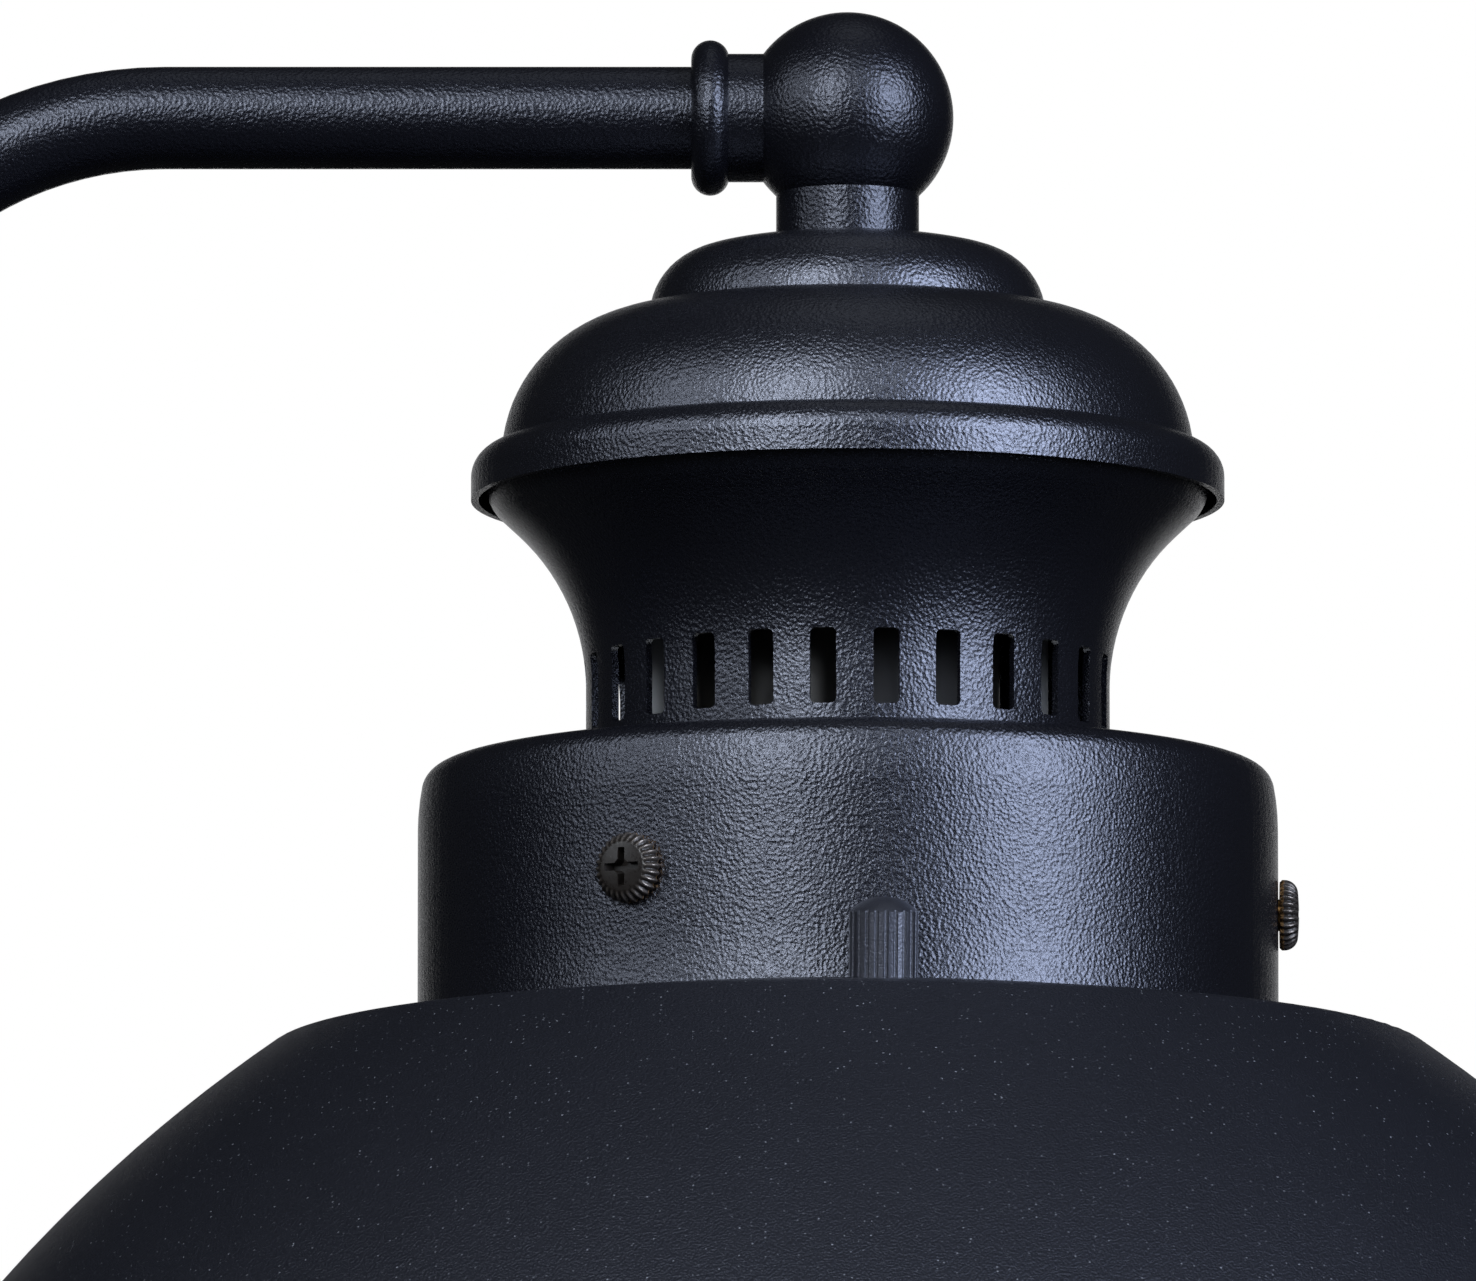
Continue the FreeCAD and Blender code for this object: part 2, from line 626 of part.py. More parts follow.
# Fitter collar: drum with thread bosses for the thumbscrews and a flange under the shade
fitter_collar = new_body("fitter_collar", dim.reach)
flange_out = size_of(180) - dim.shoulder_slope
flange_level = ZERO - dim.shade_sheet / cos(dim.shoulder_slope)
flange_edge = flange_level - dim.flange_width * tan(dim.shoulder_slope)
ease_out = size_of(90) + dim.ease_slope
ease_radius = dim.collar_radius - dim.collar_ease * (one - cos(dim.ease_slope))
ease_level = dim.collar_height - dim.collar_round * (one - sin(dim.ease_slope))
collar_path = [
    (dim.collar_radius + dim.flange_width, flange_edge, flange_out, flange_out, None),
    (dim.collar_radius, flange_level, flange_out, 90, None),
    (dim.collar_radius, ease_level - dim.collar_ease * sin(dim.ease_slope), 90, 90, (dim.collar_ease, 1)),
    (ease_radius, ease_level, ease_out, ease_out, (dim.collar_round, 1)),
    (ease_radius - dim.collar_round * cos(dim.ease_slope), dim.collar_height, 180, 180, None),
    (collar_mouth, dim.collar_height, 180, 180, None),
]
revolve(fitter_collar, sheet_outline(collar_path, dim.collar_sheet))
boss_outline = new_sketch(fitter_collar, "YZ_Plane", "boss_outline", boss_face)
draw_circle(boss_outline, ZERO, dim.screw_level, dim.boss_radius)
boss = pad(fitter_collar, boss_outline, dim.boss_length + dim.collar_sheet / 2, "boss")
polar(fitter_collar, [boss], dim.screw_count, "bosses")
screw_hole = new_sketch(fitter_collar, "YZ_Plane", "screw_hole", boss_face - dim.boss_length)
draw_circle(screw_hole, ZERO, dim.screw_level, dim.screw_radius + dim.tube_fit)
screw_bore = pocket(fitter_collar, screw_hole, dim.boss_length * 4, "screw_bore", True)
polar(fitter_collar, [screw_bore], dim.screw_count, "screw_bores")

# Shade: sloping shoulder, curved skirt and rolled rim, with a hole for each stud
shade = new_body("shade", dim.reach)
shoulder_end = dim.collar_radius + dim.shoulder_width
shoulder_drop = ZERO - dim.shoulder_width * tan(dim.shoulder_slope)
corner_end = shoulder_end + dim.shoulder_round * (sin(dim.skirt_start) - sin(dim.shoulder_slope))
corner_drop = shoulder_drop - dim.shoulder_round * (cos(dim.shoulder_slope) - cos(dim.skirt_start))
rim_end = corner_end + dim.skirt_radius * (sin(dim.skirt_end) - sin(dim.skirt_start))
rim_drop = corner_drop - dim.skirt_radius * (cos(dim.skirt_start) - cos(dim.skirt_end))
skirt_in = size_of(180) - dim.skirt_end
skirt_out = size_of(180) - dim.skirt_start
shade_path = [
    (rim_end, rim_drop, skirt_in, skirt_in, (dim.skirt_radius, 1)),
    (corner_end, corner_drop, skirt_out, skirt_out, (dim.shoulder_round, 1)),
    (shoulder_end, shoulder_drop, flange_out, flange_out, None),
    (dim.collar_radius + dim.shade_fit, ZERO - dim.shade_fit * tan(dim.shoulder_slope),
     flange_out, flange_out, None),
]
revolve(shade, sheet_outline(shade_path, dim.shade_sheet))
bead_x = rim_end - dim.shade_sheet / 2 * sin(dim.skirt_end)
bead_z = rim_drop - dim.shade_sheet / 2 * cos(dim.skirt_end)
rim_outline = new_sketch(shade, "XZ_Plane", "rim_outline")
draw_circle(rim_outline, bead_x, bead_z, dim.rim_bead)
rim_roll = shade.newObject("PartDesign::Revolution", "rim_roll")
rim_roll.Profile = rim_outline
rim_roll.ReferenceAxis = (rim_outline, ["V_Axis"])
rim_roll.Angle = 360
stud_way = new_sketch(shade, "XY_Plane", "stud_way", dim.shade_sheet)
draw_circle(stud_way, nut_circle * cos(dim.nut_turn), nut_circle * sin(dim.nut_turn), stud_hole)
stud_bore = pocket(shade, stud_way, dim.shade_sheet * 5, "stud_bore")
polar(shade, [stud_bore], dim.nut_count, "stud_bores")

# Glass jar: rounded bottom, straight wall, neck and a lip above the thumbscrews
glass_jar = new_body("glass_jar", dim.reach)
jar_in = size_of(90) - dim.glass_turn
jar_low = glass_top - dim.glass_straight
jar_side = dim.glass_radius - dim.glass_round
bottom_radius = dim.glass_round + jar_side / sin(jar_in)
bottom_centre = jar_low + jar_side / tan(jar_in)
jar_path = [
    (ZERO, bottom_centre - bottom_radius, 0, 0, (bottom_radius, 1)),
    (bottom_radius * sin(jar_in), bottom_centre - bottom_radius * cos(jar_in), jar_in, jar_in,
     (dim.glass_round, 1)),
    (dim.glass_radius, jar_low, 90, 90, None),
    (dim.glass_radius, -dim.neck_below - dim.neck_taper, 90, 90, None),
    (jar_neck, -dim.neck_below, 90, 90, None),
    (jar_neck, glass_top, 90, 90, None),
]
revolve(glass_jar, sheet_outline(jar_path, dim.glass_wall))
lip_inner = jar_neck - dim.glass_wall / 2
lip_low = glass_top - dim.glass_lip_height
lip_half = dim.glass_lip / 2
lip_corners = [
    (lip_inner, lip_low, None),
    (jar_neck, lip_low, None),
    (jar_neck + dim.glass_lip, lip_low + dim.glass_lip, None),
    (jar_neck + dim.glass_lip, glass_top - lip_half, (lip_half, 1)),
    (jar_neck + lip_half, glass_top, None),
    (lip_inner, glass_top, None),
]
revolve(glass_jar, lip_corners, "V_Axis", "lip")

# Yoke: strip that carries the collar from the stem
yoke = new_body("yoke", dim.reach, ZERO, plate_level)
leg = yoke_half - dim.yoke_sheet
foot_end = yoke_half + dim.foot_length
under = dim.yoke_height - dim.yoke_sheet
wide = dim.yoke_bend + dim.yoke_sheet
yoke_path = [
    (-foot_end, -dim.yoke_sheet, 0, 0, None),
    (ZERO - leg - wide, -dim.yoke_sheet, 0, 0, (wide, 1)),
    (-leg, dim.yoke_bend, 90, 90, None),
    (-leg, under - dim.yoke_bend, 90, 90, (dim.yoke_bend, -1)),
    (dim.yoke_bend - leg, under, 0, 0, None),
    (leg - dim.yoke_bend, under, 0, 0, (dim.yoke_bend, -1)),
    (leg, under - dim.yoke_bend, -90, -90, None),
    (leg, dim.yoke_bend, -90, -90, (wide, 1)),
    (leg + wide, -dim.yoke_sheet, 0, 0, None),
    (foot_end, -dim.yoke_sheet, 0, 0, None),
]
yoke_strip = new_sketch(yoke, "XZ_Plane", "yoke_strip")
draw(yoke_strip, sheet_outline(yoke_path, dim.yoke_sheet))
pad(yoke, yoke_strip, dim.yoke_width, "yoke_pad", True)
yoke_hole = new_sketch(yoke, "XY_Plane", "yoke_hole", under)
draw_circle(yoke_hole, ZERO, ZERO, stem_hole)
pocket(yoke, yoke_hole, dim.yoke_sheet * 2, "yoke_bore", True)

# Lock washer and nut under the yoke
ring("yoke_washer", dim.washer_radius, stem_hole, dim.washer_height, yoke_level - dim.washer_height)
yoke_nut = new_body("yoke_nut", dim.reach, ZERO, nut_level)
yoke_nut_outline = new_sketch(yoke_nut, "XY_Plane", "yoke_nut_outline")
hexagon(yoke_nut_outline, dim.lock_nut_flats)
draw_circle(yoke_nut_outline, ZERO, ZERO, stem_hole)
pad(yoke_nut, yoke_nut_outline, dim.lock_nut_height, "yoke_nut_pad")

# Lampholder: moulded body, screw shell and centre contact
holder_mouth = holder_level - dim.holder_height
lampholder = new_body("lampholder_body", dim.reach, ZERO, holder_mouth)
holder_corners = [
    (holder_cavity, ZERO, None),
    (holder_radius - dim.holder_edge, ZERO, None),
    (holder_radius, dim.holder_edge, None),
    (holder_radius, dim.holder_height - dim.holder_taper, None),
    (holder_radius - dim.holder_taper, dim.holder_height, None),
    (stem_hole, dim.holder_height, None),
    (stem_hole, dim.holder_height - dim.holder_grip, None),
    (ZERO, dim.holder_height - dim.holder_grip, None),
    (ZERO, dim.holder_depth, None),
    (holder_cavity, dim.holder_depth, None),
]
revolve(lampholder, holder_corners)
shell_level = holder_mouth + dim.shell_inset
ring("screw_shell", dim.shell_bore + dim.shell_sheet, dim.shell_bore, dim.shell_length, shell_level)
contact = new_body("centre_contact", dim.reach, ZERO, holder_mouth + dim.holder_depth - dim.contact_height)
contact_outline = new_sketch(contact, "XY_Plane", "contact_outline")
draw_circle(contact_outline, ZERO, ZERO, dim.contact_radius)
pad(contact, contact_outline, dim.contact_height, "contact_pad")

# Supply wires side by side inside the arm and the stem
for label, side in (("line_wire", dim.wire_side), ("neutral_wire", -dim.wire_side)):
    wire = new_body(label, ZERO, side)
    wire_line = new_sketch(wire, "XZ_Plane", label + "_line")
    wire_corners = [
        (dim.reach - dim.wire_bend, arm_rise, (dim.wire_bend, -1)),
        (dim.reach, arm_rise - dim.wire_bend, None),
        (dim.reach, stem_end, None),
    ]
    arm_path(wire_line, dim.wire_tail, wire_corners)
    wire_round = new_sketch(wire, "YZ_Plane", label + "_round", dim.wire_tail)
    draw_circle(wire_round, ZERO, ZERO, dim.wire_radius)
    sweep(wire, wire_line, wire_round, "PartDesign::AdditivePipe", label + "_sweep")

# Wall canopy: stepped dish over the mounting bar
wall_canopy = new_body("wall_canopy")
step_radius = dim.canopy_face_radius + dim.canopy_step_round
canopy_path = [
    (dim.canopy_face, tube_hole, 90, 90, None),
    (dim.canopy_face, dim.canopy_face_radius, 90, 90, (dim.canopy_step_round, 1)),
    (dim.canopy_face - dim.canopy_step_round, step_radius, 180, 180, None),
    (step_level, step_radius, 180, 90, None),
    (step_level, canopy_radius - dim.canopy_edge_round, 90, 90, (dim.canopy_edge_round, 1)),
    (step_level - dim.canopy_edge_round, canopy_radius, 180, 180, None),
    (dim.gasket_height, canopy_radius, 180, 180, None),
]
revolve(wall_canopy, sheet_outline(canopy_path, dim.canopy_sheet), "H_Axis")
canopy_holes = new_sketch(wall_canopy, "YZ_Plane", "canopy_holes", dim.canopy_face)
draw_circle(canopy_holes, stud_circle, ZERO, stud_hole)
draw_circle(canopy_holes, -stud_circle, ZERO, stud_hole)
pocket(wall_canopy, canopy_holes, dim.canopy_step + dim.canopy_sheet * 2, "canopy_hole_cut")

# Gasket between canopy and wall
gasket = new_body("canopy_gasket")
gasket_outline = new_sketch(gasket, "YZ_Plane", "gasket_outline")
draw_circle(gasket_outline, ZERO, ZERO, gasket_radius)
draw_circle(gasket_outline, ZERO, ZERO, gasket_radius - dim.gasket_width)
pad(gasket, gasket_outline, dim.gasket_height, "gasket_pad")

# Mounting bar on the wall box
bar = new_body("mounting_bar")
bar_outline = new_sketch(bar, "YZ_Plane", "bar_outline")
bar_side = dim.bar_width / 2
bar_corner = gasket_radius - dim.gasket_width - dim.bar_gap
bar_half = root(bar_corner * bar_corner - bar_side * bar_side)
bar_corners = [
    (-bar_half, -bar_side, None),
    (bar_half, -bar_side, None),
    (bar_half, bar_side, None),
    (-bar_half, bar_side, None),
]
draw(bar_outline, bar_corners)
draw_circle(bar_outline, ZERO, ZERO, dim.bar_way)
draw_circle(bar_outline, stud_circle, ZERO, thread_hole)
draw_circle(bar_outline, -stud_circle, ZERO, thread_hole)
draw_circle(bar_outline, dim.ground_side, ZERO, dim.ground_radius + dim.tube_fit)
slot_run = dim.box_slot / 2 - dim.box_hole
for centre in (dim.box_spacing / 2, -dim.box_spacing / 2):
    box_corners = [
        (centre - slot_run, -dim.box_hole, None),
        (centre + slot_run, -dim.box_hole, (dim.box_hole, 1)),
        (centre + slot_run, dim.box_hole, None),
        (centre - slot_run, dim.box_hole, (dim.box_hole, 1)),
    ]
    draw(bar_outline, box_corners)
pad(bar, bar_outline, dim.bar_sheet, "bar_pad")

# Ground screw on the mounting bar
ground = new_body("ground_screw", ZERO, dim.ground_side)
ground_corners = [
    (ZERO, ZERO, None),
    (ZERO, dim.ground_radius, None),
    (dim.bar_sheet, dim.ground_radius, None),
    (dim.bar_sheet, dim.ground_head, None),
    (dim.bar_sheet + dim.ground_height / 2, dim.ground_head, None),
    (dim.bar_sheet + dim.ground_height, dim.ground_radius, None),
    (dim.bar_sheet + dim.ground_height, ZERO, None),
]
revolve(ground, ground_corners, "H_Axis")

# Base ring of the arm on the canopy, and its nut behind the canopy
base_ring = new_body("arm_base_ring", dim.canopy_face)
ring_corners = [
    (ZERO, tube_hole, None),
    (ZERO, dim.ring_radius, None),
    (dim.ring_height - dim.ring_round, dim.ring_radius, (dim.ring_round, -1)),
    (dim.ring_height, dim.ring_radius - dim.ring_round, None),
    (dim.ring_height, tube_hole, None),
]
revolve(base_ring, ring_corners, "H_Axis")
arm_nut = new_body("arm_lock_nut", dim.canopy_face - dim.canopy_sheet - dim.arm_nut_height)
arm_nut_outline = new_sketch(arm_nut, "YZ_Plane", "arm_nut_outline")
hexagon(arm_nut_outline, dim.arm_nut_flats)
draw_circle(arm_nut_outline, ZERO, ZERO, tube_hole)
pad(arm_nut, arm_nut_outline, dim.arm_nut_height, "arm_nut_pad")


def flutes(body, radius, level, height, count, name):
    """Straight knurl: one round flute repeated about the axis of the body."""
    sketch = new_sketch(body, "XY_Plane", name + "_outline", level)
    draw_circle(sketch, radius + dim.flute_radius - dim.flute_depth, ZERO, dim.flute_radius)
    cut = pocket(body, sketch, height, name, True)
    polar(body, [cut], count, name + "_row")


# Thumbscrews through the collar wall
screw_reach = dim.collar_radius - jar_neck - dim.screw_gap
side_top = dim.screw_stand + dim.screw_side
face_edge = dim.screw_head - dim.screw_round * (one - sin(dim.screw_slope))
face_level = side_top + dim.screw_round * cos(dim.screw_slope)
face_curve = face_edge / sin(dim.screw_slope)
head_top = face_level + face_curve * (one - cos(dim.screw_slope))
for index in range(screw_count):
    label = "thumbscrew_%d" % (index + 1)
    screw_x = dim.reach + dim.collar_radius * cos(screw_pitch * index)
    screw = new_body(label, screw_x, dim.collar_radius * sin(screw_pitch * index), dim.screw_level)
    screw_corners = [
        (ZERO, -screw_reach, None),
        (dim.screw_radius, -screw_reach, None),
        (dim.screw_radius, dim.screw_stand, None),
        (dim.screw_head - dim.screw_edge, dim.screw_stand, None),
        (dim.screw_head, dim.screw_stand + dim.screw_edge, None),
        (dim.screw_head, side_top, (dim.screw_round, 1)),
        (face_edge, face_level, (face_curve, 1)),
        (ZERO, head_top, None),
    ]
    revolve(screw, screw_corners, "V_Axis", label + "_form")
    recess = new_sketch(screw, "XY_Plane", label + "_recess", head_top)
    arm = dim.recess_length / 2
    side = dim.recess_width / 2
    bevel = side + dim.recess_web
    quarter = [(arm, side), (bevel, side), (side, bevel), (side, arm)]
    recess_corners = []
    for step in range(4):
        recess_corners += [(x, y, None) for x, y in quarter]
        quarter = [(-y, x) for x, y in quarter]
    draw(recess, recess_corners)
    pocket(screw, recess, dim.recess_depth, label + "_cross")
    knurl = head_top - dim.screw_stand
    flutes(screw, dim.screw_head, dim.screw_stand, knurl, dim.screw_flutes, label + "_flute")
    turn = Rotation(Vector(0, 0, 1), screw_pitch.value * index)
    screw.Placement = Placement(Vector(), turn.multiply(Rotation(Vector(0, 1, 0), 90)))

# Knurled cap nut, the form that the shade and the canopy share
nut = new_body("cap_nut_form")
nut_top = dim.nut_knurl + dim.nut_dome
dome_edge = dim.nut_radius - dim.nut_edge
dome_curve = (dome_edge * dome_edge + dim.nut_dome * dim.nut_dome) / (dim.nut_dome * 2)
nut_corners = [
    (ZERO, dim.nut_bore, None),
    (thread_hole, dim.nut_bore, None),
    (thread_hole, ZERO, None),
    (dim.nut_radius, ZERO, None),
    (dim.nut_radius, dim.nut_knurl - dim.nut_edge, None),
    (dome_edge, dim.nut_knurl, (dome_curve, 1)),
    (ZERO, nut_top, None),
]
revolve(nut, nut_corners)
flutes(nut, dim.nut_radius, ZERO, dim.nut_knurl, dim.nut_flutes, "nut_flute")
doc.recompute()

# Shade nuts and their studs, square to the sloping shoulder
shade_nuts = []
shade_studs = []
for index in range(nut_count):
    turn = Rotation(Vector(0, 0, 1), dim.nut_turn.value + nut_pitch.value * index)
    tilt = turn.multiply(Rotation(Vector(0, 1, 0), dim.shoulder_slope.value))
    drop = (dim.collar_radius - nut_circle) * tan(dim.shoulder_slope)
    seat = Vector(dim.reach.value, 0, 0) + turn.multVec(Vector(nut_circle.value, 0, drop.value))
    place = Placement(seat, tilt)
    shade_nuts.append(placed(nut.Shape, place))
    stud_length = dim.shade_sheet.value + dim.stud_rise.value
    stud = Part.makeCylinder(dim.stud_radius.value, stud_length, Vector(0, 0, -dim.shade_sheet.value))
    shade_studs.append(placed(stud, place))
group("shade_cap_nuts", shade_nuts)
group("shade_studs", shade_studs)

# Canopy nuts and their studs, square to the wall
canopy_nuts = []
canopy_studs = []
for side in (1, -1):
    turn = Rotation(Vector(0, 1, 0), 90)
    place = Placement(Vector(step_level.value, side * stud_circle.value, 0), turn)
    canopy_nuts.append(placed(nut.Shape, place))
    start = Vector(0, side * stud_circle.value, 0)
    stud_length = step_level.value + dim.stud_rise.value
    canopy_studs.append(Part.makeCylinder(dim.stud_radius.value, stud_length, start, Vector(1, 0, 0)))
group("canopy_cap_nuts", canopy_nuts)
group("canopy_studs", canopy_studs)

doc.recompute()
for item in doc.Objects:
    if "Invalid" in item.State or "Error" in item.State:
        raise ValueError("%s is in error" % item.Label)
pieces = [item for item in doc.Objects if item.TypeId in ("PartDesign::Body", "Part::Feature")]
pieces = [item for item in pieces if item.Label != nut.Label]
for item in pieces:
    if item.Shape.isNull() or not item.Shape.isValid():
        raise ValueError("%s has no valid shape" % item.Label)
for item in pieces:
    item.Shape.exportStep("parts/%s.step" % item.Label)
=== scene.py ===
import math

import bmesh
import bpy
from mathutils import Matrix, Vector


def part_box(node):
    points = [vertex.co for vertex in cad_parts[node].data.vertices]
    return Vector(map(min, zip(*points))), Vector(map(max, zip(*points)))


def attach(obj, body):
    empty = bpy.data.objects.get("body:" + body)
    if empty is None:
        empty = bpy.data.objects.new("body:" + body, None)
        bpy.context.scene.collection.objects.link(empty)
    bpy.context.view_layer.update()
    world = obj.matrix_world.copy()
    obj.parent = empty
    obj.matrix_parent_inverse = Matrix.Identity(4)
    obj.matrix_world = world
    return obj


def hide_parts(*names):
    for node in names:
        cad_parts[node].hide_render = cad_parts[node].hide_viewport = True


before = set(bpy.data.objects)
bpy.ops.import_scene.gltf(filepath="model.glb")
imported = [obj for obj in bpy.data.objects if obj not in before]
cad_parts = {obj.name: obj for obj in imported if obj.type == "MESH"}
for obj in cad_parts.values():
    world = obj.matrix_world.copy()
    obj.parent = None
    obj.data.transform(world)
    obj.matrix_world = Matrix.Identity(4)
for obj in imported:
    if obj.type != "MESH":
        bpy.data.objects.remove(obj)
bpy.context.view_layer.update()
scene = bpy.context.scene
scene.view_settings.view_transform = "Standard"

# Lengths are in metres and colours are linear red, green and blue, in the whole script

# Place of the lamp's upright axis along X, as in the CAD model
LAMP_X = 0.220

# Camera: a long lens below the collar's level, looking along +Y and a little up
TARGET = Vector((LAMP_X - 0.0138, 0.0, 0.0492))
EYE = Vector((TARGET.x, -3.25, -0.3918))
WIDTH_AT_TARGET = 0.1855
SENSOR_WIDTH_MM = 36.0
SIGHT = 100.0

# Black coat of the sheet metal and the castings
COAT_DARK = (0.0026, 0.0027, 0.0042)
COAT_LIGHT = (0.0048, 0.005, 0.0076)
COAT_GRAIN = 0.00045
COAT_DEPTH = 0.00008
COAT_ROUGHNESS = (0.22, 0.32)
COAT_SPECULAR = 0.9
COAT_INDEX = 1.5
# Bluish tint on the coat's reflections: painted cool light, not a colour of the coat
COOL_LIGHT_COAT_TINT = (0.80, 0.845, 1.0)

# Grain of every coat: fine waves to a pebble and their share of the height, and waves of colour to a metre
PEBBLE_SMOOTHNESS = 0.6
FINE_WAVES = 2.2
FINE_SHARE = 0.55
DRIFT_WAVES = 60.0

# Values between which a noise node's output mostly stays
NOISE_RANGE = (0.3, 0.7)

# Pale specks painted into the shade's coat colour as glints of its sparkle: radius as a share of their
# spacing; a high rarity leaves few bright ones
FLECK_SPACING = 0.0008
FLECK_SHARE = 0.19
FLECK_RARITY = 3.5
PAINTED_GLINT_COLOUR = (0.22, 0.233, 0.26)

# Lean of the collar's wall at its foot: height of the band, and how far it leans out
FOOT_HEIGHT = 0.0078
FOOT_FLARE = 0.0004
FOOT_POWER = 2.0

# Thumbscrews: the sizes of their CAD solids, with teeth that run on over the rounding of the head
SCREW_COUNT = 3
SHANK_RADIUS = 0.002
HEAD_RADIUS = 0.00445
HEAD_CHAMFER = 0.0003
HEAD_SIDE = 0.0006
HEAD_ROUND = 0.0017
FACE_SLOPE = math.radians(6)
TEETH = 28
STEPS_PER_TOOTH = 10
TOOTH_DEPTH = 0.00034
TOOTH_FADE = (math.radians(48), math.radians(78))
CHAMFER_TOOTH = 0.6
ARC_STEPS = 14
FACE_STEPS = 5
RECESS_ARM = 0.0026
RECESS_SIDE = 0.00052
RECESS_WEB = 0.0005
RECESS_DEPTH = 0.0015
RECESS_TAPER = 0.7
RECESS_OVERSHOOT = 0.0004
SHARP_ANGLE = math.radians(40)

# Plating of the thumbscrews, worn off inside a ragged edge at this distance from the lamp's axis
WEAR_EDGE = 0.0552
WEAR_DEPTH = 0.0008
WEAR_WAVES = 1800.0
PLATING_DARK = (0.007, 0.0055, 0.005)
PLATING_LIGHT = (0.018, 0.0145, 0.012)
RUBBED_COLOUR = (0.17, 0.15, 0.135)
BARE_BRASS = (0.40, 0.22, 0.08)

# Floor, far enough down for views from below, and the air; the white backdrop is the part towards +Y
FLOOR_LEVEL = -12.0
FLOOR_REACH = 120.0
FLOOR_COLOUR = (0.86, 0.86, 0.86)
FLOOR_SEEN = (0.90, 0.90, 0.90)
DIM_COLOUR = (0.9, 0.93, 1.0)
DIM_STRENGTH = 0.02
WHITE = (1.0, 1.0, 1.0)
BACKDROP_EDGE = 0.91

# Lamps
LAMP_AIM = Vector((LAMP_X, 0.0, 0.05))
LAMP_DISTANCE = 2.4
LAMP_BEAM = math.radians(60)
COOL_WHITE = (0.88, 0.93, 1.0)


def place_camera():
    """Camera at the photograph's viewing angle."""
    data = bpy.data.cameras.new("camera")
    data.sensor_fit = "HORIZONTAL"
    data.sensor_width = SENSOR_WIDTH_MM
    data.lens = SENSOR_WIDTH_MM * (TARGET - EYE).length / WIDTH_AT_TARGET
    data.clip_end = SIGHT
    camera = bpy.data.objects.new("camera", data)
    camera.location = EYE
    camera.rotation_euler = (TARGET - EYE).to_track_quat("-Z", "Y").to_euler()
    scene.collection.objects.link(camera)
    scene.camera = camera


def new_material(name):
    """Material with nodes, its tree and its shader."""
    material = bpy.data.materials.new(name)
    material.use_nodes = True
    tree = material.node_tree
    return material, tree, tree.nodes["Principled BSDF"]


def add(tree, kind, **values):
    """Node of a kind, with these properties set."""
    made = tree.nodes.new(kind)
    for key, value in values.items():
        setattr(made, key, value)
    return made


def feed(tree, socket, value):
    """Link a node's output to a socket, or set a number or a colour on the socket."""
    if isinstance(value, bpy.types.NodeSocket):
        tree.links.new(value, socket)
    elif socket.type == "RGBA":
        socket.default_value = (*value, 1.0)
    else:
        socket.default_value = value


def set_inputs(tree, node, values):
    """Feed several inputs of a node by their names."""
    for name, value in values.items():
        feed(tree, node.inputs[name], value)


def object_point(tree):
    """Point of the surface in the frame of the CAD model, at rest."""
    return add(tree, "ShaderNodeTexCoord").outputs["Object"]


def calculate(tree, operation, *values):
    """Result of a Math node on numbers or outputs of nodes."""
    made = add(tree, "ShaderNodeMath", operation=operation)
    for socket, value in zip(made.inputs, values):
        feed(tree, socket, value)
    return made.outputs["Value"]


def noise(tree, point, scale, detail, roughness):
    """Noise with so many waves to a metre."""
    made = add(tree, "ShaderNodeTexNoise")
    set_inputs(tree, made, {"Vector": point, "Scale": scale, "Detail": detail, "Roughness": roughness})
    return made.outputs["Fac"]


def cells(tree, point, size, feature):
    """Voronoi node with cells of about this size."""
    made = add(tree, "ShaderNodeTexVoronoi", feature=feature)
    set_inputs(tree, made, {"Vector": point, "Scale": 1.0 / size})
    return made


def ramp(tree, source, low, high, first, last):
    """Value that goes from first to last while the source goes from low to high."""
    made = add(tree, "ShaderNodeMapRange")
    ends = {"From Min": low, "From Max": high, "To Min": first, "To Max": last}
    set_inputs(tree, made, {"Value": source, **ends})
    return made.outputs["Result"]


def mix_colours(tree, factor, first, second):
    """Colour that goes from first to second with the factor."""
    made = add(tree, "ShaderNodeMix", data_type="RGBA")
    set_inputs(tree, made, {"Factor": factor, "A": first, "B": second})
    return made.outputs["Result"]


def mix_shaders(tree, factor, first, second):
    """Shader that goes from first to second with the factor."""
    made = add(tree, "ShaderNodeMixShader")
    for socket, value in zip(made.inputs, (factor, first, second)):
        feed(tree, socket, value)
    return made.outputs["Shader"]


def bump(tree, height, depth, strength=1.0):
    """Bump node that reads a height as a relief of this depth."""
    made = add(tree, "ShaderNodeBump")
    set_inputs(tree, made, {"Height": height, "Distance": depth, "Strength": strength})
    return made


def flared_foot(tree, point):
    """Normal of a wall that leans out a little towards its foot on the shade."""
    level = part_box("shade")[1][2]
    split = add(tree, "ShaderNodeSeparateXYZ")
    tree.links.new(point, split.inputs["Vector"])
    share = ramp(tree, split.outputs["Z"], level + FOOT_HEIGHT, level, 0.0, 1.0)
    lean = calculate(tree, "POWER", share, FOOT_POWER)
    return bump(tree, lean, FOOT_FLARE).outputs["Normal"]


def paint_glint_flecks(tree, point, colour):
    """Colour with small pale specks strewn over it, a few of them bright: painted glints."""
    strewn = cells(tree, point, FLECK_SPACING, "F1")
    dot = ramp(tree, strewn.outputs["Distance"], FLECK_SHARE, FLECK_SHARE / 2, 0.0, 1.0)
    chance = add(tree, "ShaderNodeSeparateColor")
    tree.links.new(strewn.outputs["Color"], chance.inputs["Color"])
    bright = calculate(tree, "POWER", chance.outputs["Red"], FLECK_RARITY)
    return mix_colours(tree, calculate(tree, "MULTIPLY", dot, bright), colour, PAINTED_GLINT_COLOUR)


